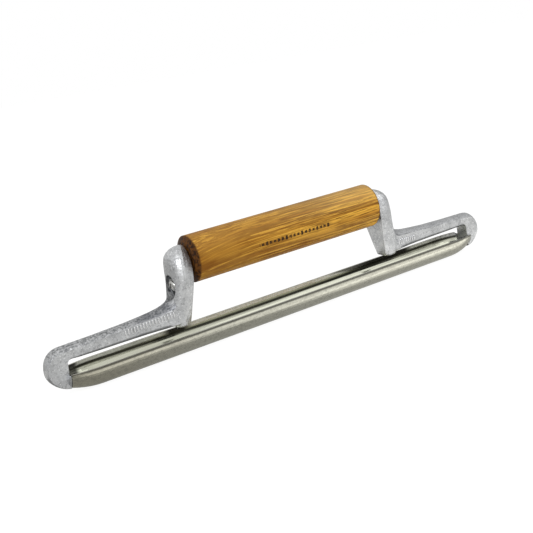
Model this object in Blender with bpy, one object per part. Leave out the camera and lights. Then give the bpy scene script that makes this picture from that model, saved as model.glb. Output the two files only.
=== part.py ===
"""Masonry sled-runner jointer: a half-round steel runner, two cast brackets and a turned wooden grip.

The long axis is +X, the grip is above the runner and +Z is up. The runner's lowest line is at z = 0.
The right bracket is drawn at +X and the left one is the same casting turned half a turn about Z.
"""
import math

import bmesh
import bpy
from mathutils import Matrix, Vector

# Runner: a half-round channel whose underside sweeps up and whose sides draw in at both ends
RUN_RADIUS = 0.0125
RUN_WALL = 0.0013
RUN_RIM_Z = 0.0143
RUN_HALF = 0.170
RUN_STRAIGHT = 0.150
RUN_BEND = 0.055
RUN_PINCH = 0.24
RUN_SEGMENTS = 28

# Grip
GRIP_Z = 0.0601
GRIP_RADIUS = 0.015875
GRIP_HALF = 0.0772
GRIP_CHAMFER = 0.0020
GRIP_END_RADIUS = 0.0119
GRIP_SEGMENTS = 64

# Screw that holds the grip, driven upward and inward from the bracket's outer face
SCREW_TILT = math.radians(24.0)
SEAT = Vector((0.0877, 0.0, 0.0462))
SEAT_RADIUS = 0.0059
RECESS_WIDE = 0.0069
RECESS_TALL = 0.0086
RECESS_FLOOR = Vector((0.0889, 0.0, 0.0452))
SHANK_RADIUS = 0.0021
SHANK_LENGTH = 0.0300
HEAD_RADIUS = 0.0043
HEAD_HEIGHT = 0.0026
WASHER_RADIUS = 0.0053
WASHER_THICK = 0.0009
CLEAR = 0.0003

# Rivet that ties the runner's end to the bracket's tongue
RIVET_X = 0.1665
RIVET_RADIUS = 0.0016
RIVET_TOP = 0.0078
RIVET_BOTTOM = 0.0027

# Tongue of the bracket inside the runner's end
TONGUE_START = 0.1630
TONGUE_TOP = 0.0080

# Upright of the right bracket, one row per level:
# height, inner face x, inner half width, middle x, middle half width, outer x, roundness of the back
UPRIGHT = (
    (0.0190, 0.0847, 0.0042, 0.0880, 0.0068, 0.0936, 3.2),
    (0.0193, 0.0843, 0.0046, 0.0882, 0.0073, 0.0943, 3.2),
    (0.0200, 0.0841, 0.0049, 0.0886, 0.0077, 0.0948, 3.2),
    (0.0226, 0.0836, 0.0056, 0.0894, 0.0082, 0.0953, 3.2),
    (0.0280, 0.0827, 0.0069, 0.0898, 0.0088, 0.0957, 3.0),
    (0.0340, 0.0817, 0.0082, 0.0888, 0.0096, 0.0950, 2.8),
    (0.0400, 0.0807, 0.0096, 0.0872, 0.0107, 0.0934, 2.6),
    (0.0460, 0.0799, 0.0110, 0.0860, 0.0118, 0.0923, 2.5),
    (0.0500, 0.0793, 0.0114, 0.0852, 0.0124, 0.0919, 2.5),
    (0.0540, 0.0789, 0.0112, 0.0850, 0.0123, 0.0918, 2.5),
    (0.0580, 0.0786, 0.0104, 0.0848, 0.0118, 0.0917, 2.5),
    (0.0615, 0.0784, 0.0092, 0.0844, 0.0109, 0.0916, 2.5),
    (0.0645, 0.0783, 0.0076, 0.0838, 0.0098, 0.0910, 2.5),
    (0.0670, 0.0783, 0.0056, 0.0830, 0.0080, 0.0896, 2.5),
    (0.0690, 0.0784, 0.0036, 0.0820, 0.0058, 0.0873, 2.5),
    (0.0702, 0.0787, 0.0020, 0.0812, 0.0038, 0.0848, 2.5),
    (0.0708, 0.0793, 0.0008, 0.0806, 0.0018, 0.0824, 2.5),
)

# Arm of the right bracket, one row per station: x, half width, underside z, top z, drop of the top at the sides
ARM = (
    (0.0880, 0.0070, 0.0215, 0.0440, 0.0075),
    (0.0915, 0.0075, 0.0215, 0.0440, 0.0075),
    (0.0928, 0.0077, 0.0215, 0.0424, 0.0070),
    (0.0938, 0.0078, 0.0215, 0.0403, 0.0064),
    (0.0952, 0.0077, 0.0215, 0.0384, 0.0057),
    (0.0972, 0.0075, 0.0215, 0.0368, 0.0049),
    (0.1000, 0.0071, 0.0216, 0.0356, 0.0042),
    (0.1040, 0.0066, 0.0216, 0.0346, 0.0036),
    (0.1090, 0.0061, 0.0217, 0.0338, 0.0031),
    (0.1160, 0.0057, 0.0218, 0.0331, 0.0027),
    (0.1280, 0.0054, 0.0219, 0.0322, 0.0025),
    (0.1480, 0.0054, 0.0221, 0.0314, 0.0025),
    (0.1610, 0.0054, 0.0224, 0.0311, 0.0026),
    (0.1652, 0.0055, 0.0227, 0.0311, 0.0026),
    (0.1694, 0.0049, 0.0233, 0.0303, 0.0030),
)
ARM_SHARES = (1.0, 0.93, 0.80, 0.60, 0.32, 0.0, -0.32, -0.60, -0.80, -0.93, -1.0)

# Nose of the right bracket in side view
NOSE_CENTRE = (0.1702, 0.0158)
NOSE_REACH = 0.0131
NOSE_UP = 0.0152
NOSE_DOWN = 0.0122
NOSE_STEPS = 20
NOSE_POWER_UP = 0.84
NOSE_POWER_DOWN = 1.20
NOSE_CROWN_TOP = 1.3
NOSE_CROWN_TIP = 0.5
NOSE_CROWN_DOWN = 0.45
NOSE_BACK = (
    (0.1705, 0.0048),
    (0.1703, 0.0080),
    (0.1700, 0.0140),
    (0.1697, 0.0190),
    (0.1694, 0.0212),
    (0.1686, 0.0225),
    (0.1672, 0.0229),
    (0.1650, 0.0230),
    (0.1640, 0.0232),
    (0.1640, 0.0280),
)
NOSE_HALF = 0.0054
CROWN = 0.0023
CROWN_LEVELS = (-1.0, -0.86, -0.66, -0.36, 0.0, 0.36, 0.66, 0.86, 1.0)

# Collar between the nose and the runner's end: x, how far inside the runner's outline
COLLAR = (
    (0.1703, 0.0002),
    (0.1712, 0.0004),
    (0.1719, 0.0016),
)
COLLAR_TOP = 0.0136


def wipe_scene():
    """Empty the file."""
    for obj in list(bpy.data.objects):
        bpy.data.objects.remove(obj, do_unlink=True)
    for group in list(bpy.data.collections):
        bpy.data.collections.remove(group)


def make_material(name, colour, roughness, metallic):
    """A plain Principled material."""
    mat = bpy.data.materials.new(name)
    mat.use_nodes = True
    shader = mat.node_tree.nodes["Principled BSDF"]
    shader.inputs["Base Color"].default_value = (*colour, 1.0)
    shader.inputs["Roughness"].default_value = roughness
    shader.inputs["Metallic"].default_value = metallic
    return mat


def make_object(name, mesh, group):
    """Link a mesh into a collection as a new object."""
    obj = bpy.data.objects.new(name, mesh)
    group.objects.link(obj)
    return obj


def loft(name, rings, group):
    """A closed body through rings of equal length, capped at both ends."""
    bm = bmesh.new()
    rows = [[bm.verts.new(point) for point in ring] for ring in rings]
    count = len(rings[0])
    for low, high in zip(rows, rows[1:]):
        for i in range(count):
            j = (i + 1) % count
            bm.faces.new((low[i], low[j], high[j], high[i]))
    bm.faces.new(list(reversed(rows[0])))
    bm.faces.new(rows[-1])
    bmesh.ops.recalc_face_normals(bm, faces=bm.faces)
    mesh = bpy.data.meshes.new(name)
    bm.to_mesh(mesh)
    bm.free()
    return make_object(name, mesh, group)


def turned(name, profile, segments, matrix, group):
    """A body of revolution about local X through (x, radius) pairs, then placed by a matrix."""
    rings = []
    for along, radius in profile:
        ring = []
        for i in range(segments):
            turn = math.tau * i / segments
            point = Vector((along, radius * math.cos(turn), radius * math.sin(turn)))
            ring.append(matrix @ point)
        rings.append(ring)
    return loft(name, rings, group)


def apply_modifiers(obj):
    """Bake an object's modifiers into its mesh."""
    graph = bpy.context.evaluated_depsgraph_get()
    mesh = bpy.data.meshes.new_from_object(obj.evaluated_get(graph))
    obj.modifiers.clear()
    obj.data = mesh


def combine(obj, other, operation):
    """Exact boolean of two bodies, baked."""
    mod = obj.modifiers.new(operation.lower(), "BOOLEAN")
    mod.operation = operation
    mod.solver = "EXACT"
    mod.object = other
    bpy.context.view_layer.update()
    apply_modifiers(obj)


def finish(obj, mat, angle=32.0):
    """Weld, smooth and give the object its material."""
    bm = bmesh.new()
    bm.from_mesh(obj.data)
    bmesh.ops.remove_doubles(bm, verts=bm.verts, dist=1e-6)
    bmesh.ops.dissolve_degenerate(bm, edges=bm.edges, dist=1e-6)
    bmesh.ops.recalc_face_normals(bm, faces=bm.faces)
    bm.to_mesh(obj.data)
    bm.free()
    obj.data.materials.clear()
    obj.data.materials.append(mat)
    obj.data.shade_smooth()
    obj.data.set_sharp_from_angle(angle=math.radians(angle))


def turn_about_z(obj, name, group):
    """A copy of an object, turned half a turn about Z, with its own mesh."""
    mesh = obj.data.copy()
    mesh.name = name
    mesh.transform(Matrix.Rotation(math.pi, 4, "Z"))
    return make_object(name, mesh, group)


def rise(x):
    """How far the runner's underside has swept up at a station."""
    past = max(0.0, abs(x) - RUN_STRAIGHT)
    return past * past / (2.0 * RUN_BEND)


def pinch(x):
    """Share of its full width the runner keeps at a station."""
    past = max(0.0, abs(x) - RUN_STRAIGHT) / (RUN_HALF - RUN_STRAIGHT)
    return 1.0 - RUN_PINCH * min(past, 1.0) ** 2


def channel_ring(x, outer, inner, top, segments):
    """C-shaped section at a station: the outer arc and back along the inner arc."""
    centre = RUN_RADIUS + rise(x)
    ring = []
    for radius, order in ((outer, range(segments + 1)), (inner, range(segments, -1, -1))):
        start = math.asin((top - centre) / radius)
        sweep = math.pi + 2.0 * start
        for i in order:
            turn = start - sweep * i / segments
            ring.append((x, pinch(x) * radius * math.cos(turn), centre + radius * math.sin(turn)))
    return ring


def make_runner(group):
    """The half-round channel."""
    stations = [-RUN_HALF, -0.166, -0.162, -0.158, -0.154, -RUN_STRAIGHT, -0.10, -0.05]
    stations = stations + [0.0] + [-x for x in reversed(stations)]
    inner = RUN_RADIUS - RUN_WALL
    rings = [channel_ring(x, RUN_RADIUS, inner, RUN_RIM_Z, RUN_SEGMENTS) for x in stations]
    bm = bmesh.new()
    rows = [[bm.verts.new(point) for point in ring] for ring in rings]
    count = len(rings[0])
    for low, high in zip(rows, rows[1:]):
        for i in range(count):
            j = (i + 1) % count
            bm.faces.new((low[i], low[j], high[j], high[i]))
    for row in (rows[0], rows[-1]):
        for i in range(RUN_SEGMENTS):
            bm.faces.new((row[i], row[i + 1], row[count - 2 - i], row[count - 1 - i]))
    bmesh.ops.recalc_face_normals(bm, faces=bm.faces)
    mesh = bpy.data.meshes.new("runner")
    bm.to_mesh(mesh)
    bm.free()
    return make_object("runner", mesh, group)


def power(value, exponent):
    """Signed power, for rounded-rectangle outlines."""
    return math.copysign(abs(value) ** exponent, value)


def upright_ring(row):
    """D-shaped section of the upright: flat inner face, splayed sides and a bulging back."""
    z, inner, half_in, middle, half_mid, outer, roundness = row
    ring = [(inner, half_in * share, z) for share in (0.96, 0.5, 0.0, -0.5, -0.96)]
    lip = 0.04 * half_in
    ring.append((inner + lip, -half_in, z))
    ring.append((0.5 * (inner + middle), -0.5 * (half_in + half_mid), z))
    for i in range(17):
        turn = -0.5 * math.pi + math.pi * i / 16
        x = middle + (outer - middle) * power(math.cos(turn), 2.0 / roundness)
        y = half_mid * power(math.sin(turn), 2.0 / roundness)
        ring.append((x, y, z))
    ring.append((0.5 * (inner + middle), 0.5 * (half_in + half_mid), z))
    ring.append((inner + lip, half_in, z))
    return ring


def arm_ring(row):
    """Section of the arm: flat below and at the sides, crowned on top."""
    x, half, low, top, drop = row
    ring = [(x, -half, low + 0.0007), (x, -half + 0.0006, low), (x, half - 0.0006, low), (x, half, low + 0.0007)]
    for share in ARM_SHARES:
        edge = 0.0004 * power(abs(share), 8.0)
        ring.append((x, (half - edge) * share, top - drop * share * share))
    return ring


def nose_outline():
    """Side view of the nose as (x, z, inward x, inward z), the last two scaled by the crown."""
    outline = [(0.1640, 0.0310, 0.0, -NOSE_CROWN_TOP)]
    for i in range(NOSE_STEPS + 1):
        turn = 0.5 * math.pi - math.pi * i / NOSE_STEPS
        upper = turn > 0.0
        tall = NOSE_UP if upper else NOSE_DOWN
        exponent = NOSE_POWER_UP if upper else NOSE_POWER_DOWN
        x = NOSE_CENTRE[0] + NOSE_REACH * power(math.cos(turn), exponent)
        z = NOSE_CENTRE[1] + tall * power(math.sin(turn), exponent)
        end_crown = NOSE_CROWN_TOP if upper else NOSE_CROWN_DOWN
        crown = NOSE_CROWN_TIP + (end_crown - NOSE_CROWN_TIP) * math.sin(turn) ** 2
        outline.append((x, z, -crown * math.cos(turn), -crown * math.sin(turn)))
    return outline + [(x, z, 0.0, 0.0) for x, z in NOSE_BACK]


def nose_ring(level):
    """The nose's side view at one level across the width, drawn in by the crown."""
    depth = CROWN * level * level
    y = NOSE_HALF * level
    return [(x + depth * dx, y, z + depth * dz) for x, z, dx, dz in nose_outline()]


def half_round(x, radius, top):
    """Solid half-round section that follows the runner at a station."""
    inside = min(x, RUN_HALF)
    centre = RUN_RADIUS + rise(inside)
    start = math.asin((top - centre) / radius)
    sweep = math.pi + 2.0 * start
    ring = []
    for i in range(25):
        turn = start - sweep * i / 24
        ring.append((x, pinch(inside) * radius * math.cos(turn), centre + radius * math.sin(turn)))
    return ring


def screw_frame():
    """Local frame of the right screw: +X points from the seat towards the grip."""
    return Matrix.Translation(SEAT) @ Matrix.Rotation(math.pi, 4, "Z") @ Matrix.Rotation(-SCREW_TILT, 4, "Y")


def cutter(name, profile, segments, matrix, group):
    """A turned body used only to cut another."""
    obj = turned(name, profile, segments, matrix, group)
    obj.hide_render = True
    obj.display_type = "WIRE"
    return obj


def make_bracket(name, group, cutters):
    """The right casting: upright, arm, nose and tongue in one body."""
    body = loft(name, [upright_ring(row) for row in UPRIGHT], group)
    arm = loft("arm_shape", [arm_ring(row) for row in ARM], cutters)
    combine(body, arm, "UNION")
    nose = loft("nose_shape", [nose_ring(level) for level in CROWN_LEVELS], cutters)
    combine(body, nose, "UNION")
    collar_rings = [half_round(x, RUN_RADIUS - inset, COLLAR_TOP - inset) for x, inset in COLLAR]
    collar = loft("collar_shape", collar_rings, cutters)
    combine(body, collar, "UNION")
    tongue_radius = RUN_RADIUS - RUN_WALL - 1.4 * CLEAR
    tongue_rings = [half_round(x, tongue_radius, TONGUE_TOP) for x in (TONGUE_START, 0.1655, 0.1680, 0.1711)]
    tongue = loft("tongue_shape", tongue_rings, cutters)
    combine(body, tongue, "UNION")
    stretch = Matrix.Diagonal((1.0, 1.0, RECESS_TALL / RECESS_WIDE, 1.0))
    profile = ((0.0, RECESS_WIDE), (0.02, RECESS_WIDE))
    recess = cutter("recess", profile, 36, Matrix.Translation(RECESS_FLOOR) @ stretch, cutters)
    combine(body, recess, "DIFFERENCE")
    seat = cutter("seat", ((-0.0062, SEAT_RADIUS), (0.0, SEAT_RADIUS)), 36, screw_frame(), cutters)
    combine(body, seat, "DIFFERENCE")
    hole_radius = SHANK_RADIUS + CLEAR
    hole = cutter("bore", ((-0.005, hole_radius), (0.025, hole_radius)), 24, screw_frame(), cutters)
    combine(body, hole, "DIFFERENCE")
    pin = cutter("rivet_bore", ((0.0, 0.0019), (0.0094, 0.0019)), 20, upward(RIVET_X), cutters)
    combine(body, pin, "DIFFERENCE")
    for helper in (arm, nose, collar, tongue):
        helper.hide_render = True
        helper.display_type = "WIRE"
    return body


def upward(x):
    """Local frame at a station with +X pointing up."""
    return Matrix.Translation((x, 0.0, 0.0)) @ Matrix.Rotation(-0.5 * math.pi, 4, "Y")


def make_grip(group):
    """The turned grip with its shallow end cones."""
    straight = GRIP_HALF - GRIP_CHAMFER
    profile = (
        (-GRIP_HALF, GRIP_END_RADIUS),
        (-straight, GRIP_RADIUS),
        (-0.5 * straight, GRIP_RADIUS),
        (0.0, GRIP_RADIUS),
        (0.5 * straight, GRIP_RADIUS),
        (straight, GRIP_RADIUS),
        (GRIP_HALF, GRIP_END_RADIUS),
    )
    return turned("handle", profile, GRIP_SEGMENTS, Matrix.Translation((0.0, 0.0, GRIP_Z)), group)


def make_screw(name, group, cutters):
    """Round-head wood screw with a straight slot."""
    base = -WASHER_THICK - 2.0 * CLEAR
    profile = [(base - HEAD_HEIGHT, 0.0009)]
    for i in range(1, 7):
        turn = 0.5 * math.pi * i / 6
        profile.append((base - HEAD_HEIGHT * math.cos(turn), HEAD_RADIUS * math.sin(turn) + 0.00001))
    profile.append((base, HEAD_RADIUS - 0.0003))
    profile.append((base, SHANK_RADIUS))
    profile.append((SHANK_LENGTH - 0.005, SHANK_RADIUS))
    profile.append((SHANK_LENGTH, 0.0004))
    body = turned(name, profile, 28, screw_frame(), group)
    slot = loft(name + "_slot", slot_rings(base), cutters)
    slot.hide_render = True
    slot.display_type = "WIRE"
    combine(body, slot, "DIFFERENCE")
    return body


def slot_rings(base):
    """Two rectangles that bound the driver slot."""
    frame = screw_frame() @ Matrix.Rotation(math.radians(20.0), 4, "X")
    corners = ((-0.0006, -0.006), (0.0006, -0.006), (0.0006, 0.006), (-0.0006, 0.006))
    rings = []
    for along in (base - HEAD_HEIGHT - 0.002, base - HEAD_HEIGHT + 0.0012):
        rings.append([frame @ Vector((along, y, z)) for y, z in corners])
    return rings


def make_washer(name, group, cutters):
    """Plain washer under the screw's head."""
    profile = ((-WASHER_THICK - CLEAR, WASHER_RADIUS), (-CLEAR, WASHER_RADIUS))
    body = turned(name, profile, 32, screw_frame(), group)
    hole_radius = SHANK_RADIUS + CLEAR
    hole = cutter(name + "_bore", ((-0.004, hole_radius), (0.004, hole_radius)), 24, screw_frame(), cutters)
    combine(body, hole, "DIFFERENCE")
    return body


def make_rivet(name, group):
    """Flush rivet through the runner's underside."""
    profile = ((RIVET_BOTTOM, RIVET_RADIUS - 0.0002), (RIVET_BOTTOM + 0.0002, RIVET_RADIUS), (RIVET_TOP, RIVET_RADIUS))
    return turned(name, profile, 20, upward(RIVET_X), group)


def build():
    """Make every sub-part."""
    wipe_scene()
    parts = bpy.data.collections.new("sled_runner_jointer")
    cutters = bpy.data.collections.new("cutters")
    bpy.context.scene.collection.children.link(parts)
    bpy.context.scene.collection.children.link(cutters)

    steel = make_material("runner_steel", (0.50, 0.49, 0.45), 0.28, 1.0)
    cast = make_material("cast_aluminium", (0.66, 0.67, 0.69), 0.48, 1.0)
    wood = make_material("grip_wood", (0.50, 0.27, 0.09), 0.50, 0.0)
    zinc = make_material("screw_steel", (0.62, 0.62, 0.60), 0.35, 1.0)
    rivet_metal = make_material("rivet_aluminium", (0.60, 0.60, 0.60), 0.45, 1.0)

    runner = make_runner(parts)
    bracket = make_bracket("right_bracket", parts, cutters)
    handle = make_grip(parts)
    screw = make_screw("right_screw", parts, cutters)
    washer = make_washer("right_washer", parts, cutters)
    rivet = make_rivet("right_rivet", parts)

    for side in (0.0, math.pi):
        swing = Matrix.Rotation(side, 4, "Z")
        pilot_radius = SHANK_RADIUS + CLEAR
        pilot_profile = ((0.0, pilot_radius), (SHANK_LENGTH + 0.0004, pilot_radius))
        pilot = cutter("grip_bore", pilot_profile, 24, swing @ screw_frame(), cutters)
        combine(handle, pilot, "DIFFERENCE")
        pin = cutter("runner_bore", ((-0.001, 0.0019), (0.006, 0.0019)), 20, swing @ upward(RIVET_X), cutters)
        combine(runner, pin, "DIFFERENCE")

    finish(runner, steel)
    finish(bracket, cast)
    finish(handle, wood)
    finish(screw, zinc)
    finish(washer, zinc)
    finish(rivet, rivet_metal)
    turn_about_z(bracket, "left_bracket", parts)
    turn_about_z(screw, "left_screw", parts)
    turn_about_z(washer, "left_washer", parts)
    turn_about_z(rivet, "left_rivet", parts)


build()
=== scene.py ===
"""Looks of the sled-runner jointer: steel, cast aluminium and wood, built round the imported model."""
import math

import bmesh
import bpy
from mathutils import Matrix, Vector


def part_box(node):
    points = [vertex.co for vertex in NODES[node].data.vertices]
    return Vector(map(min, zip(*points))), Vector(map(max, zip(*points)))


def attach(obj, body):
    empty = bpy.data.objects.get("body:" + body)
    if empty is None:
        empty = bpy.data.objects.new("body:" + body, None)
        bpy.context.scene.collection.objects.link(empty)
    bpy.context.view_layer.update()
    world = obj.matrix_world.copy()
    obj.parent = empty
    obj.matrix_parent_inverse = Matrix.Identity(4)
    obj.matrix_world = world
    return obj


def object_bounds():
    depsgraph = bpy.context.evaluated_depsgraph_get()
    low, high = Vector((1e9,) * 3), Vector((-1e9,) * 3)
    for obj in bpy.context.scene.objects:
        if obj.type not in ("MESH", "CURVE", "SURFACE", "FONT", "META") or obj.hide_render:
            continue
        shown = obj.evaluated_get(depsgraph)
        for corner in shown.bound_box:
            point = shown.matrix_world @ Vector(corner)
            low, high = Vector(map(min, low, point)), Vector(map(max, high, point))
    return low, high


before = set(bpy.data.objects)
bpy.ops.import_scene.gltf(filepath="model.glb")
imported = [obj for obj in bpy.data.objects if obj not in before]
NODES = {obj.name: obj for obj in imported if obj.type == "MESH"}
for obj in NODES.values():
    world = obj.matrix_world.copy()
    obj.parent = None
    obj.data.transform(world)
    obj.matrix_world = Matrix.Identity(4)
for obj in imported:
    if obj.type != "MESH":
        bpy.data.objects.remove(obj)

cad_low, cad_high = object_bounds()

# Heights of the runner's axis and rims: it is half round and stands on z = 0, so its axis is as high as
# half its width
runner_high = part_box("runner")[1]
RUN_AXIS = runner_high.y
RUN_RIM = runner_high.z

# The height of the grip's axis, and where its round part ends and its chamfers begin
GRIP_CHAMFER = 0.0020
grip_low, grip_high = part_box("handle")
GRIP_AXIS = 0.5 * (grip_low.z + grip_high.z)
GRIP_ROUND = grip_high.x - GRIP_CHAMFER

# The oval recess round each screw's head: the height of its centre, and half its width and height
RECESS_Z = 0.0452
RECESS_WIDE = 0.0069
RECESS_TALL = 0.0086

# Half the arms' width by the distance from the middle of the tool
ARM_SIDE = (
    (0.0938, 0.0078),
    (0.1000, 0.0071),
    (0.1040, 0.0066),
    (0.1090, 0.0061),
    (0.1160, 0.0057),
    (0.1280, 0.0054),
)

# Raised ribs on the arms' sides: their pitch, width and height, how far they stand proud of their base,
# how deep the base is in the arm, and the points round each rib
RIB_STEP = 0.0021
RIB_WIDE = 0.00105
RIB_TALL = 0.0040
RIB_PROUD = 0.00075
RIB_ROOT = 0.0002
RIB_POINTS = 16

# The two rows of ribs on the side at -y: where each starts and ends along x, and the heights of its first
# and its last rib
LONG_ROW = (-0.1300, -0.0964, 0.0274, 0.0292)
SHORT_ROW = (0.0964, 0.1132, 0.0272, 0.0262)

# The burnt row of dashes on the grip: its height, half its length, and dashes in a metre
DASH_Z = GRIP_AXIS - 0.0011
DASH_HALF = 0.0300
DASH_RATE = 310.0

# The darkest colours: of the painted shade and painted dark reflections in the runner, and of the painted
# shade on the castings
RUNNER_PAINTED_DARK = (0.022, 0.021, 0.018)
CAST_PAINTED_SHADE = (0.05, 0.052, 0.055)

# Half the floor's side, and its height just below the runner
FLOOR_HALF = 6.0
FLOOR_Z = cad_low.z - 0.0002

# The main view: the camera's place, the directions of its right and up, and its lens in millimetres
CAMERA_AT = (-0.29842, -0.47332, 0.18856)
CAMERA_RIGHT = (0.82812, -0.53922, -0.15315)
CAMERA_UP = (0.26876, 0.14218, 0.95266)
CAMERA_LENS = 55.48
CAMERA_SENSOR = 36.0

# What the lights aim at
LIGHT_TARGET = (0.0, 0.0, 0.03)


# ---------------------------------------------------------------- node helpers

def add(tree, kind, inputs=None, **settings):
    """A shader node with its settings, and its inputs set or linked."""
    node = tree.nodes.new(kind)
    for key, value in settings.items():
        setattr(node, key, value)
    for key, value in (inputs or {}).items():
        if isinstance(value, bpy.types.NodeSocket):
            tree.links.new(value, node.inputs[key])
        else:
            node.inputs[key].default_value = value
    return node


def calc(tree, operation, a, b=0.0):
    """A math node's result."""
    return add(tree, "ShaderNodeMath", {0: a, 1: b}, operation=operation).outputs[0]


def times(tree, first, *others):
    """The product of several values."""
    for value in others:
        first = calc(tree, "MULTIPLY", first, value)
    return first


def largest(tree, first, *others):
    """The largest of several values."""
    for value in others:
        first = calc(tree, "MAXIMUM", first, value)
    return first


def apart(tree, value, centre=0.0):
    """How far a value is from a centre."""
    return calc(tree, "ABSOLUTE", calc(tree, "SUBTRACT", value, centre))


def ramp(tree, value, low, high, out_low=0.0, out_high=1.0):
    """A value mapped smoothly from one range to another, clamped."""
    node = add(tree, "ShaderNodeMapRange", {"Value": value, "From Min": low, "From Max": high,
                                            "To Min": out_low, "To Max": out_high})
    node.interpolation_type = "SMOOTHSTEP"
    return node.outputs["Result"]


def blend(tree, factor, a, b):
    """Two numbers mixed."""
    return add(tree, "ShaderNodeMix", {0: factor, 2: a, 3: b}).outputs[0]


def blend_colour(tree, factor, a, b):
    """Two colours mixed."""
    node = add(tree, "ShaderNodeMix", {0: factor}, data_type="RGBA")
    for key, value in ((6, a), (7, b)):
        if isinstance(value, bpy.types.NodeSocket):
            tree.links.new(value, node.inputs[key])
        else:
            node.inputs[key].default_value = (*value, 1.0)
    return node.outputs[2]


def place(tree):
    """The point in the row frame, in metres, and its three parts."""
    point = add(tree, "ShaderNodeTexCoord").outputs["Object"]
    parts = add(tree, "ShaderNodeSeparateXYZ", {0: point})
    return point, parts.outputs[0], parts.outputs[1], parts.outputs[2]


def facing(tree):
    """The three parts of the surface's direction."""
    parts = add(tree, "ShaderNodeSeparateXYZ", {0: add(tree, "ShaderNodeTexCoord").outputs["Normal"]})
    return parts.outputs[0], parts.outputs[1], parts.outputs[2]


def scaled(tree, point, scale):
    """A point stretched, for a texture."""
    return add(tree, "ShaderNodeMapping", {"Vector": point, "Scale": scale}).outputs[0]


def noise(tree, vector, scale=1.0, detail=4.0, roughness=0.55, distortion=0.0):
    """A noise value around one half."""
    node = add(tree, "ShaderNodeTexNoise", {"Vector": vector, "Scale": scale, "Detail": detail,
                                            "Roughness": roughness, "Distortion": distortion})
    return node.outputs["Fac"]


def bump(tree, height, distance, strength):
    """A bump normal from a height of 0 to 1 and its depth in metres."""
    node = add(tree, "ShaderNodeBump", {"Height": height, "Distance": distance, "Strength": strength})
    return node.outputs[0]


def new_material(name, metallic, **sockets):
    """A Principled material: its tree and shader, with the constant sockets set."""
    mat = bpy.data.materials.new(name)
    mat.use_nodes = True
    tree = mat.node_tree
    shader = tree.nodes["Principled BSDF"]
    shader.inputs["Metallic"].default_value = metallic
    for key, value in sockets.items():
        shader.inputs[key].default_value = value
    return mat, tree, shader


def plug(tree, shader, colour, roughness, normal):
    """Link a colour, a roughness and a bump into the shader."""
    tree.links.new(colour, shader.inputs["Base Color"])
    tree.links.new(roughness, shader.inputs["Roughness"])
    tree.links.new(normal, shader.inputs["Normal"])


# ---------------------------------------------------------------- materials

def steel_painted_shade_and_reflection(tree, point, x, y, z, ny, inside):
    """The runner's painted shade and painted reflection: shade along its rims, a dark reflection band along
    the channel, and shade on the walls by the ends and feet.
    """
    # Painted shade along the outer edges of the rims
    rim_painted_shade = times(tree, ramp(tree, z, RUN_RIM - 0.0017, RUN_RIM - 0.0007, 0.0, 0.72),
                ramp(tree, times(tree, ny, y), -0.002, 0.004))
    # Painted shade in the channel's corners at the ends, strong at -x and faint at +x
    left_end_shade = ramp(tree, x, -0.1585, -0.1620, 0.0, 0.9)
    right_end_shade = ramp(tree, x, 0.1625, 0.1660, 0.0, 0.3)
    ends = times(tree, largest(tree, left_end_shade, right_end_shade), inside)

    # The painted dark reflection band climbs a little towards the ends, and is fainter on the wall at -y
    middle = ramp(tree, apart(tree, x, -0.005), 0.03, 0.16, 0.0097, 0.0112)
    wave = calc(tree, "SUBTRACT", noise(tree, scaled(tree, point, (9.0, 0.0, 0.0)), 1.0, 2.0), 0.5)
    level = calc(tree, "ADD", z, times(tree, wave, 0.0012))
    band = ramp(tree, apart(tree, level, middle), 0.0017, 0.0003, 0.0, 0.95)
    band = times(tree, band, inside, ramp(tree, y, -0.004, 0.004, 0.30, 1.0))

    # Painted shade and dark reflection on the channel's walls under and beside the feet
    edge = ramp(tree, x, 0.028, 0.080, 0.0150, 0.0096)
    right_foot_shade = times(tree, ramp(tree, calc(tree, "SUBTRACT", z, edge), -0.0010, 0.0012),
                       ramp(tree, x, 0.127, 0.117), ramp(tree, x, 0.050, 0.085, 0.7, 1.0))
    left_foot_shade = times(tree, ramp(tree, x, -0.074, -0.084), ramp(tree, x, -0.102, -0.093),
                      ramp(tree, z, 0.0085, 0.0105))
    feet = times(tree, largest(tree, right_foot_shade, left_foot_shade), inside, 0.97)
    return largest(tree, rim_painted_shade, ends, band, feet)


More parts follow.
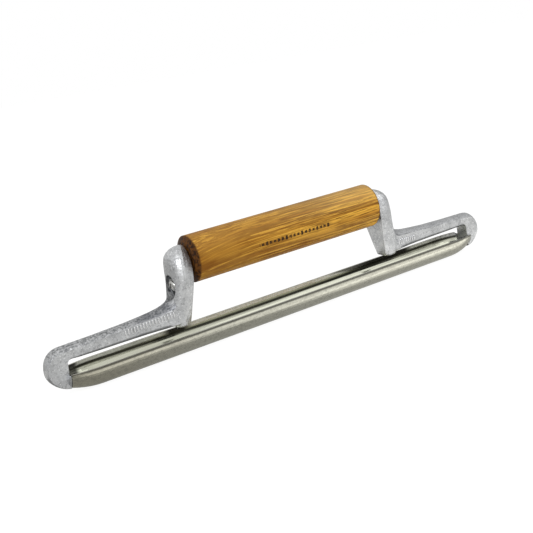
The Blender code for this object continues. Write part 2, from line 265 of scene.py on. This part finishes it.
def make_steel():
    """Runner: polished inside, satin outside with fine lines along it; painted reflections and shade make it
    brighter inside near the rims, darker towards -x, dark at the rims and by the feet, with a dark band in
    the channel.
    """
    mat, tree, shader = new_material("steel_look", 1.0)
    point, x, y, z = place(tree)
    ny, nz = facing(tree)[1:]
    outward = calc(tree, "ADD", times(tree, ny, y), times(tree, nz, calc(tree, "SUBTRACT", z, RUN_AXIS)))
    outside = ramp(tree, outward, -0.004, 0.004)
    inside = calc(tree, "SUBTRACT", 1.0, outside)
    lines = noise(tree, scaled(tree, point, (14.0, 2600.0, 2600.0)), 1.0, 3.0, 0.6)
    cloud = noise(tree, point, 55.0, 4.0, 0.6)
    patches = noise(tree, scaled(tree, point, (90.0, 260.0, 260.0)), 1.0, 5.0, 0.65)
    specks = noise(tree, scaled(tree, point, (420.0, 700.0, 700.0)), 1.0, 3.0, 0.6)

    # Inside, the walls are painted brighter near the rims as a painted reflection; outside, painted shade
    # makes the steel browner and darker towards -x
    satin_strip_painted_bright = ramp(tree, z, 0.0112, 0.0126)
    inner = blend_colour(tree, lines, (0.70, 0.71, 0.585), (0.77, 0.78, 0.655))
    inner = blend_colour(tree, satin_strip_painted_bright, inner, (1.0, 1.0, 0.99))
    outer = blend_colour(tree, cloud, (0.52, 0.51, 0.435), (0.61, 0.605, 0.525))
    outer = blend_colour(tree, ramp(tree, lines, 0.38, 0.62, 0.0, 0.55), outer, (0.70, 0.70, 0.62))
    outer = blend_colour(tree, ramp(tree, x, -0.06, -0.17, 0.0, 0.55), outer, (0.46, 0.43, 0.33))
    colour = blend_colour(tree, outside, inner, outer)
    colour = blend_colour(tree, ramp(tree, patches, 0.52, 0.70, 0.0, 0.28), colour, (0.36, 0.34, 0.29))
    speckled = times(tree, ramp(tree, specks, 0.48, 0.64, 0.0, 0.40), outside)
    colour = blend_colour(tree, speckled, colour, (0.30, 0.295, 0.26))
    # Painted shade and painted dark reflections at the rims, the ends, the channel band and by the feet
    colour = blend_colour(tree, steel_painted_shade_and_reflection(tree, point, x, y, z, ny, inside), colour, RUNNER_PAINTED_DARK)

    rough_in = calc(tree, "ADD", ramp(tree, cloud, 0.3, 0.7, 0.10, 0.16), times(tree, satin_strip_painted_bright, 0.30))
    rough_out = ramp(tree, patches, 0.3, 0.7, 0.22, 0.31)
    height = blend(tree, 0.7, patches, lines)
    plug(tree, shader, colour, blend(tree, outside, rough_in, rough_out), bump(tree, height, 0.00003, 0.35))
    return mat


def cast_painted_shade(tree, x, y, z, nx):
    """The castings' painted shade: under the arms, on the noses' inner faces, in the recesses and at the
    feet.
    """
    along = calc(tree, "ABSOLUTE", x)
    inboard = times(tree, nx, calc(tree, "SIGN", x))
    under = times(tree, ramp(tree, z, 0.0240, 0.0229), ramp(tree, along, 0.097, 0.101),
                  ramp(tree, along, 0.1685, 0.1665), 0.8)
    inboard_face_shade = times(tree, ramp(tree, inboard, -0.4, -0.8), ramp(tree, along, 0.155, 0.160),
                      ramp(tree, z, 0.0150, 0.0190, 1.0, 0.45), ramp(tree, x, -0.01, 0.01, 1.0, 0.55))
    wide = calc(tree, "DIVIDE", y, RECESS_WIDE)
    tall = calc(tree, "DIVIDE", calc(tree, "SUBTRACT", z, RECESS_Z), RECESS_TALL)
    oval = calc(tree, "ADD", times(tree, wide, wide), times(tree, tall, tall))
    recess = times(tree, ramp(tree, oval, 1.02, 0.80), ramp(tree, inboard, -0.2, 0.0))
    foot_shadow_line = times(tree, ramp(tree, z, 0.0172, 0.0152), ramp(tree, along, 0.101, 0.097))
    return times(tree, largest(tree, under, inboard_face_shade, recess, foot_shadow_line), 0.92)


def make_cast():
    """Brackets: tumbled cast aluminium, sparkling, rougher on its upper faces, with painted shade on those
    faces and in its corners.
    """
    mat, tree, shader = new_material("cast_look", 1.0)
    point, x, y, z = place(tree)
    nx, ny, up = facing(tree)
    grain = noise(tree, point, 950.0, 3.0, 0.6)
    pits = noise(tree, point, 700.0, 4.0, 0.65)
    cloud = noise(tree, point, 110.0, 5.0, 0.65)
    dents = noise(tree, point, 330.0, 2.0, 0.5)
    colour = blend_colour(tree, ramp(tree, cloud, 0.32, 0.68), (0.51, 0.522, 0.54), (0.70, 0.713, 0.73))
    colour = blend_colour(tree, ramp(tree, pits, 0.52, 0.66, 0.0, 0.6), colour, (0.28, 0.285, 0.295))
    colour = blend_colour(tree, ramp(tree, grain, 0.56, 0.66, 0.0, 0.75), colour, (0.95, 0.96, 0.98))

    # The arms' tops are pitted and painted darker as shade, more on the left arm; the painted shade is
    # darkest next to the left upright
    low_arm = ramp(tree, z, 0.056, 0.048)
    top = times(tree, ramp(tree, up, 0.30, 0.75), low_arm)
    pitted = blend_colour(tree, ramp(tree, pits, 0.40, 0.60), (0.14, 0.145, 0.15), (0.58, 0.59, 0.60))
    colour = blend_colour(tree, times(tree, top, ramp(tree, x, -0.01, 0.01, 0.8, 0.4)), colour, pitted)
    # Painted shade in the corner between the left arm and the left upright
    root = times(tree, ramp(tree, up, 0.30, 0.60), ramp(tree, z, 0.046, 0.040),
                 ramp(tree, x, -0.134, -0.112, 0.0, 0.55), ramp(tree, x, -0.092, -0.097),
                 ramp(tree, cloud, 0.40, 0.58, 0.5, 1.0))
    colour = blend_colour(tree, root, colour, (0.085, 0.092, 0.115))

    # A broken dark line follows the edge between an arm's top and its side
    line = times(tree, ramp(tree, up, 0.12, 0.30), ramp(tree, up, 0.62, 0.42),
                 ramp(tree, calc(tree, "ABSOLUTE", ny), 0.4, 0.7), low_arm,
                 ramp(tree, noise(tree, point, 260.0), 0.42, 0.58), 0.85)
    colour = blend_colour(tree, line, colour, (0.09, 0.095, 0.11))
    # Painted shade under the arms, on the noses' inner faces, in the recesses and at the feet
    colour = blend_colour(tree, cast_painted_shade(tree, x, y, z, nx), colour, CAST_PAINTED_SHADE)

    roughness = calc(tree, "ADD", ramp(tree, cloud, 0.3, 0.7, 0.32, 0.44), times(tree, top, 0.15))
    height = calc(tree, "ADD", blend(tree, 0.4, pits, grain), times(tree, dents, 1.3))
    plug(tree, shader, colour, roughness, bump(tree, height, 0.00030, 0.75))
    return mat


def dashes(tree, point, x, y, z):
    """A burnt row of plain dashes on the grip's side at -y, of uneven height and worn."""
    beat = calc(tree, "FRACT", times(tree, x, DASH_RATE))
    uneven = noise(tree, scaled(tree, point, (DASH_RATE, 0.0, 0.0)), 1.0, 1.0)
    reach = ramp(tree, uneven, 0.3, 0.7, 0.0006, 0.0014)
    over = calc(tree, "SUBTRACT", apart(tree, z, DASH_Z), reach)
    return times(tree, ramp(tree, beat, 0.22, 0.32), ramp(tree, beat, 0.92, 0.82),
                 ramp(tree, over, 0.0003, -0.0001),
                 ramp(tree, calc(tree, "ABSOLUTE", x), DASH_HALF, DASH_HALF - 0.0004),
                 ramp(tree, y, 0.001, -0.001),
                 ramp(tree, noise(tree, point, 900.0, 2.0), 0.30, 0.50, 0.35, 0.95))


def make_wood():
    """Grip: varnished wood with streaks along its length, dark ends and a burnt row of plain dashes, with
    painted light on its upper half and painted shade on its underside and towards -x.
    """
    mat, tree, shader = new_material("wood_look", 0.0, **{"IOR": 1.40, "Specular IOR Level": 0.22})
    point, x, y, z = place(tree)

    # The grain wanders, and dips towards the end at -x
    tail = calc(tree, "MINIMUM", calc(tree, "ADD", x, 0.030), 0.0)
    bent = noise(tree, scaled(tree, point, (9.0, 30.0, 30.0)), 1.0, 2.0)
    lift = calc(tree, "ADD", calc(tree, "ADD", z, times(tree, tail, tail, 2.0)), times(tree, bent, 0.004))
    grain = add(tree, "ShaderNodeCombineXYZ", {0: x, 1: y, 2: lift}).outputs[0]
    across = times(tree, calc(tree, "ADD", times(tree, y, 0.45), lift), 420.0)
    rings_at = add(tree, "ShaderNodeCombineXYZ", {0: times(tree, x, 3.0), 2: across}).outputs[0]
    rings = noise(tree, rings_at, 1.0, 3.0, 0.6, 0.3)
    streaks = noise(tree, scaled(tree, grain, (8.0, 520.0, 520.0)), 1.0, 4.0, 0.6)
    pores = noise(tree, scaled(tree, grain, (60.0, 1200.0, 1200.0)), 1.0, 2.0, 0.5)
    fine = noise(tree, scaled(tree, grain, (20.0, 900.0, 900.0)), 1.0, 3.0, 0.6)
    threads = noise(tree, scaled(tree, grain, (7.0, 0.0, 700.0)), 1.0, 1.0, 0.4)
    patch = noise(tree, scaled(tree, point, (26.0, 60.0, 60.0)), 1.0, 3.0, 0.55)
    blot = noise(tree, scaled(tree, point, (17.0, 70.0, 70.0)), 1.0, 4.0, 0.6, 0.4)

    fine_depth = times(tree, ramp(tree, fine, 0.52, 0.57), ramp(tree, x, 0.0, 0.06, 0.85, 0.55))
    thread_depth = times(tree, ramp(tree, threads, 0.52, 0.58), ramp(tree, x, 0.0, 0.06, 0.75, 0.45))
    # Painted light on the grip's upper half, stronger towards +x; painted shade on its underside, fading out
    # towards +x
    upper = times(tree, ramp(tree, z, GRIP_AXIS + 0.002, GRIP_AXIS + 0.014),
                  ramp(tree, x, -0.02, 0.06, 0.12, 0.30))
    lower_painted_shade = times(tree, ramp(tree, z, GRIP_AXIS + 0.004, GRIP_AXIS - 0.013, 0.0, 0.36),
                  ramp(tree, x, 0.065, 0.0))
    colour = blend_colour(tree, ramp(tree, rings, 0.34, 0.62), (0.38, 0.152, 0.010), (0.86, 0.475, 0.064))
    for factor, tint in (
        (ramp(tree, streaks, 0.50, 0.57, 0.0, 0.68), (0.22, 0.076, 0.004)),
        (fine_depth, (0.15, 0.047, 0.002)),
        (ramp(tree, pores, 0.54, 0.60, 0.0, 0.75), (0.10, 0.030, 0.002)),
        (thread_depth, (0.15, 0.052, 0.003)),
        (ramp(tree, patch, 0.38, 0.66, 0.0, 0.35), (0.82, 0.46, 0.070)),
        (ramp(tree, blot, 0.54, 0.68, 0.0, 0.45), (0.16, 0.052, 0.002)),
        # Painted light on the upper half, then painted shade on the underside and towards -x
        (upper, (0.82, 0.57, 0.23)),
        (largest(tree, lower_painted_shade, ramp(tree, x, 0.045, -0.060, 0.0, 0.42)), (0.25, 0.088, 0.003)),
    ):
        colour = blend_colour(tree, factor, colour, tint)
    end_streaks = ramp(tree, streaks, 0.4, 0.6)
    end_grain = blend_colour(tree, end_streaks, (0.022, 0.007, 0.001), (0.105, 0.038, 0.005))
    ends = ramp(tree, calc(tree, "ABSOLUTE", x), GRIP_ROUND - 0.0012, GRIP_ROUND + 0.0004)
    colour = blend_colour(tree, ends, colour, end_grain)
    colour = blend_colour(tree, dashes(tree, point, x, y, z), colour, (0.016, 0.007, 0.004))

    height = blend(tree, 0.5, streaks, calc(tree, "SUBTRACT", 1.0, pores))
    plug(tree, shader, colour, ramp(tree, streaks, 0.35, 0.70, 0.42, 0.58), bump(tree, height, 0.00008, 0.5))
    return mat


def make_fixing(name, bright, dull, low, high):
    """Screws, washers, rivets and ribs: small plated, plain or worn metal with scuffs."""
    mat, tree, shader = new_material(name, 1.0)
    scuff = noise(tree, place(tree)[0], 1100.0, 4.0, 0.6)
    colour = blend_colour(tree, ramp(tree, scuff, 0.35, 0.7), bright, dull)
    plug(tree, shader, colour, ramp(tree, scuff, 0.3, 0.7, low, high), bump(tree, scuff, 0.00005, 0.4))
    return mat


# ---------------------------------------------------------------- raised ribs on the arms

def rib(bm, x, y, z):
    """One rounded rib on a side face that looks along -y."""
    rows = []
    for share, step in ((1.0, 0.0), (0.92, 0.55), (0.62, 0.9), (0.30, 1.0)):
        row = []
        half_wide = 0.5 * RIB_WIDE * share
        half_tall = 0.5 * (RIB_TALL - RIB_WIDE * (1.0 - share))
        for i in range(RIB_POINTS):
            turn = math.tau * i / RIB_POINTS
            across = math.copysign(abs(math.cos(turn)) ** 0.7, math.cos(turn)) * half_wide
            along = math.copysign(abs(math.sin(turn)) ** 0.7, math.sin(turn)) * half_tall
            row.append(bm.verts.new((x + across, y - RIB_PROUD * step, z + along)))
        rows.append(row)
    for low, high in zip(rows, rows[1:]):
        for i in range(RIB_POINTS):
            j = (i + 1) % RIB_POINTS
            bm.faces.new((low[i], low[j], high[j], high[i]))
    bm.faces.new(rows[-1])
    bm.faces.new(list(reversed(rows[0])))


def arm_side(x):
    """Half the arm's width at a distance from the middle of the tool."""
    for (near, wide), (far, slim) in zip(ARM_SIDE, ARM_SIDE[1:]):
        if x <= far:
            return wide + (slim - wide) * (x - near) / (far - near)
    return ARM_SIDE[-1][1]


def make_ribs(name, row, matrix, mat):
    """A row of equal ribs on an arm's side, placed by a matrix."""
    first, last, low, high = row
    bm = bmesh.new()
    count = int(round((last - first) / RIB_STEP)) + 1
    for i in range(count):
        x = first + RIB_STEP * i
        rib(bm, x, RIB_ROOT - arm_side(abs(x)), low + (high - low) * i / (count - 1))
    bmesh.ops.recalc_face_normals(bm, faces=bm.faces)
    bm.transform(matrix)
    mesh = bpy.data.meshes.new(name)
    bm.to_mesh(mesh)
    bm.free()
    mesh.shade_smooth()
    mesh.materials.append(mat)
    obj = bpy.data.objects.new(name, mesh)
    bpy.context.scene.collection.objects.link(obj)
    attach(obj, "root")


# ---------------------------------------------------------------- stage

def floor_glow(tree, x, y):
    """The light sent up to the object: dim under the runner, bright beside it, fading outwards and to -x."""
    off = calc(tree, "SUBTRACT", calc(tree, "ABSOLUTE", y), ramp(tree, x, -0.13, 0.06, 0.038, 0.028))
    return times(tree, ramp(tree, off, -0.015, -0.002, 0.46, 1.55), ramp(tree, off, 0.002, 0.016, 1.0, 0.48),
                 ramp(tree, y, 0.0, 0.02, 1.0, 0.85), ramp(tree, x, -0.17, 0.20, 0.74, 1.08))


def make_floor():
    """A plain pale floor, clear from below. The camera doesn't see the pattern of the light it sends up."""
    bm = bmesh.new()
    corners = [bm.verts.new((sx * FLOOR_HALF, sy * FLOOR_HALF, FLOOR_Z))
               for sx, sy in ((-1, -1), (1, -1), (1, 1), (-1, 1))]
    bm.faces.new(corners)
    mesh = bpy.data.meshes.new("floor")
    bm.to_mesh(mesh)
    bm.free()
    floor = bpy.data.objects.new("floor", mesh)
    bpy.context.scene.collection.objects.link(floor)
    mat = bpy.data.materials.new("floor_look")
    mat.use_nodes = True
    tree = mat.node_tree
    tree.nodes.clear()
    x, y = place(tree)[1:3]
    seen = add(tree, "ShaderNodeLightPath").outputs["Is Camera Ray"]
    below = add(tree, "ShaderNodeNewGeometry").outputs["Backfacing"]
    level = floor_glow(tree, x, y)
    lit = add(tree, "ShaderNodeEmission", {"Color": (1.0, 0.99, 0.955, 1.0), "Strength": level})
    glow = add(tree, "ShaderNodeEmission", {"Color": (1.0, 1.0, 1.0, 1.0), "Strength": 1.12})
    pale = add(tree, "ShaderNodeBsdfDiffuse", {"Color": (0.9, 0.9, 0.9, 1.0)})
    clear = add(tree, "ShaderNodeBsdfTransparent")
    shown = add(tree, "ShaderNodeMixShader", {0: 0.82, 1: pale.outputs[0], 2: glow.outputs[0]})
    above = add(tree, "ShaderNodeMixShader", {0: seen, 1: lit.outputs[0], 2: shown.outputs[0]})
    one_sided = add(tree, "ShaderNodeMixShader", {0: below, 1: above.outputs[0], 2: clear.outputs[0]})
    add(tree, "ShaderNodeOutputMaterial", {"Surface": one_sided.outputs[0]})
    mesh.materials.append(mat)


def make_world():
    """Soft studio surroundings: darker low behind and towards +x, and plain white to the camera."""
    world = bpy.data.worlds.new("studio")
    bpy.context.scene.world = world
    world.use_nodes = True
    tree = world.node_tree
    tree.nodes.clear()
    way = add(tree, "ShaderNodeSeparateXYZ", {0: add(tree, "ShaderNodeTexCoord").outputs["Generated"]})
    right, back, up = way.outputs[0], way.outputs[1], way.outputs[2]
    dark = calc(tree, "MULTIPLY", ramp(tree, back, 0.05, 0.45), ramp(tree, up, 0.30, 0.10, 0.0, 0.35))
    level = ramp(tree, right, 0.0, 0.75, 0.86, 0.52)
    strength = calc(tree, "MULTIPLY", level, calc(tree, "SUBTRACT", 1.0, dark))
    soft = add(tree, "ShaderNodeBackground", {"Color": (1.0, 0.995, 0.98, 1.0), "Strength": strength})
    white = add(tree, "ShaderNodeBackground", {"Color": (1.0, 1.0, 1.0, 1.0), "Strength": 1.0})
    seen = add(tree, "ShaderNodeLightPath").outputs["Is Camera Ray"]
    both = add(tree, "ShaderNodeMixShader", {0: seen, 1: soft.outputs[0], 2: white.outputs[0]})
    add(tree, "ShaderNodeOutputWorld", {"Surface": both.outputs[0]})


def make_light(name, location, size, power):
    """A square soft light aimed at the tool."""
    data = bpy.data.lights.new(name, "AREA")
    data.size = size
    data.energy = power
    obj = bpy.data.objects.new(name, data)
    bpy.context.scene.collection.objects.link(obj)
    aim = (Vector(LIGHT_TARGET) - Vector(location)).to_track_quat("-Z", "Y")
    obj.matrix_world = Matrix.Translation(location) @ aim.to_matrix().to_4x4()


def make_camera():
    """The camera: in front of the tool, towards -x and a little above it."""
    data = bpy.data.cameras.new("camera")
    data.sensor_width = CAMERA_SENSOR
    data.lens = CAMERA_LENS
    data.clip_start = 0.01
    camera = bpy.data.objects.new("camera", data)
    bpy.context.scene.collection.objects.link(camera)
    right = Vector(CAMERA_RIGHT)
    up = Vector(CAMERA_UP)
    turn = Matrix((right, up, right.cross(up))).transposed().to_4x4()
    camera.matrix_world = Matrix.Translation(CAMERA_AT) @ turn
    bpy.context.scene.camera = camera


# ---------------------------------------------------------------- build

make_camera()
make_floor()
make_world()
make_light("key", (-0.65, -0.95, 0.75), 0.7, 6.0)
make_light("fill", (0.9, -0.7, 0.9), 1.0, 1.6)
bpy.context.scene.view_settings.view_transform = "Standard"

steel = make_steel()
cast = make_cast()
wood = make_wood()
zinc = make_fixing("screw_look", (0.66, 0.66, 0.64), (0.42, 0.42, 0.41), 0.22, 0.42)
plain = make_fixing("rivet_look", (0.58, 0.58, 0.57), (0.44, 0.44, 0.43), 0.30, 0.50)
worn = make_fixing("rib_look", (0.95, 0.955, 0.97), (0.74, 0.745, 0.76), 0.24, 0.42)
LOOKS = {
    "runner": steel,
    "right_bracket": cast,
    "left_bracket": cast,
    "handle": wood,
    "right_screw": zinc,
    "left_screw": zinc,
    "right_washer": zinc,
    "left_washer": zinc,
    "right_rivet": plain,
    "left_rivet": plain,
}
for node_name, look in LOOKS.items():
    for material_slot in NODES[node_name].material_slots:
        material_slot.material = look

# The back of the tool is its front turned half a turn
SAME = Matrix.Identity(4)
TURN = Matrix.Rotation(math.pi, 4, "Z")
make_ribs("left_near_ribs", LONG_ROW, SAME, worn)
make_ribs("right_far_ribs", LONG_ROW, TURN, worn)
make_ribs("right_near_ribs", SHORT_ROW, SAME, worn)
make_ribs("left_far_ribs", SHORT_ROW, TURN, worn)

bpy.context.view_layer.update()
